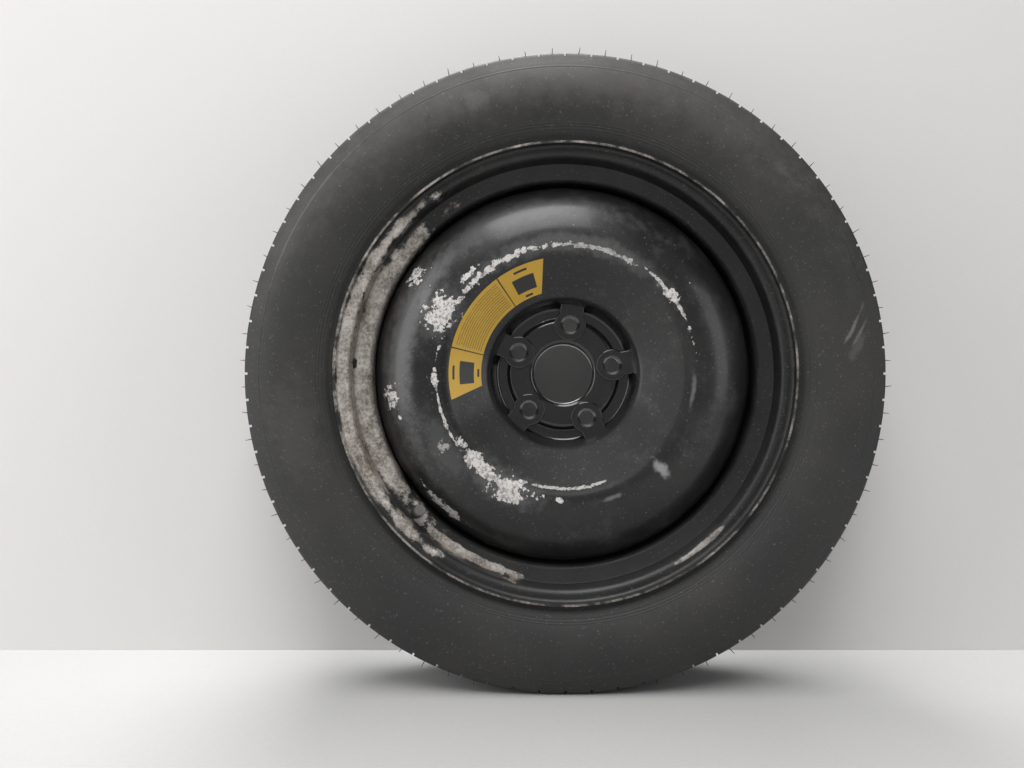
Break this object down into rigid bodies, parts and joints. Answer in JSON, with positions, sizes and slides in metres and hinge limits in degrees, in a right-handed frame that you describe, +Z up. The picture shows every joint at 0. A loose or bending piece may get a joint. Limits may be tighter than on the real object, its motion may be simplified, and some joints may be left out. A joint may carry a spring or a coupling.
{
  "type": "spare wheel",
  "caption": "Narrow spare wheel: domed black pressed-steel disc welded in a drop-centre rim, thin temporary tyre, snap-in valve with cap and a blank yellow sticker.",
  "frame": {"origin": "centre of the wheel, on its axle line in the rim's centre plane", "axes": "+Y along the axle towards the vehicle, so the outer face looks towards -Y; +Z up"},
  "size_m": [0.6776, 0.1382, 0.6765],
  "materials": {
    "tyre": "matt black rubber, dusty",
    "rim": "black paint, worn to bare steel at the lower left",
    "disc": "semi-gloss black paint, chipped and rubbed",
    "weld": "painted weld",
    "sticker": "printed film",
    "valve_rubber": "moulded rubber",
    "brass": "turned brass",
    "seal": "soft rubber",
    "spring": "drawn steel wire",
    "cap": "moulded plastic, dusty"
  },
  "bodies": {
    "wheel": {"tyre": "tyre", "rim": "rim", "wheel_disc": "disc", "disc_welds": "weld", "sticker": "sticker", "valve_rubber": "valve_rubber", "valve_stem": "brass", "valve_core": "brass", "valve_core_seal": "seal", "valve_spring": "spring"},
    "cap": {"valve_cap": "cap", "valve_cap_seal": "seal"},
    "pin": {"valve_pin": "brass", "valve_gasket": "seal"}
  },
  "joints": [
    {"name": "valve_cap_off", "type": "slide", "parent": "wheel", "child": "cap", "axis": [0.2421, -0.943, 0.2282], "range_m": [0, 0.016]},
    {"name": "valve_pin_press", "type": "slide", "parent": "wheel", "child": "pin", "axis": [-0.2421, 0.943, -0.2282], "range_m": [0, 0.0012], "stiffness_N_per_m": 300, "springref_m": -0.002, "deforming": ["valve_spring"]}
  ]
}
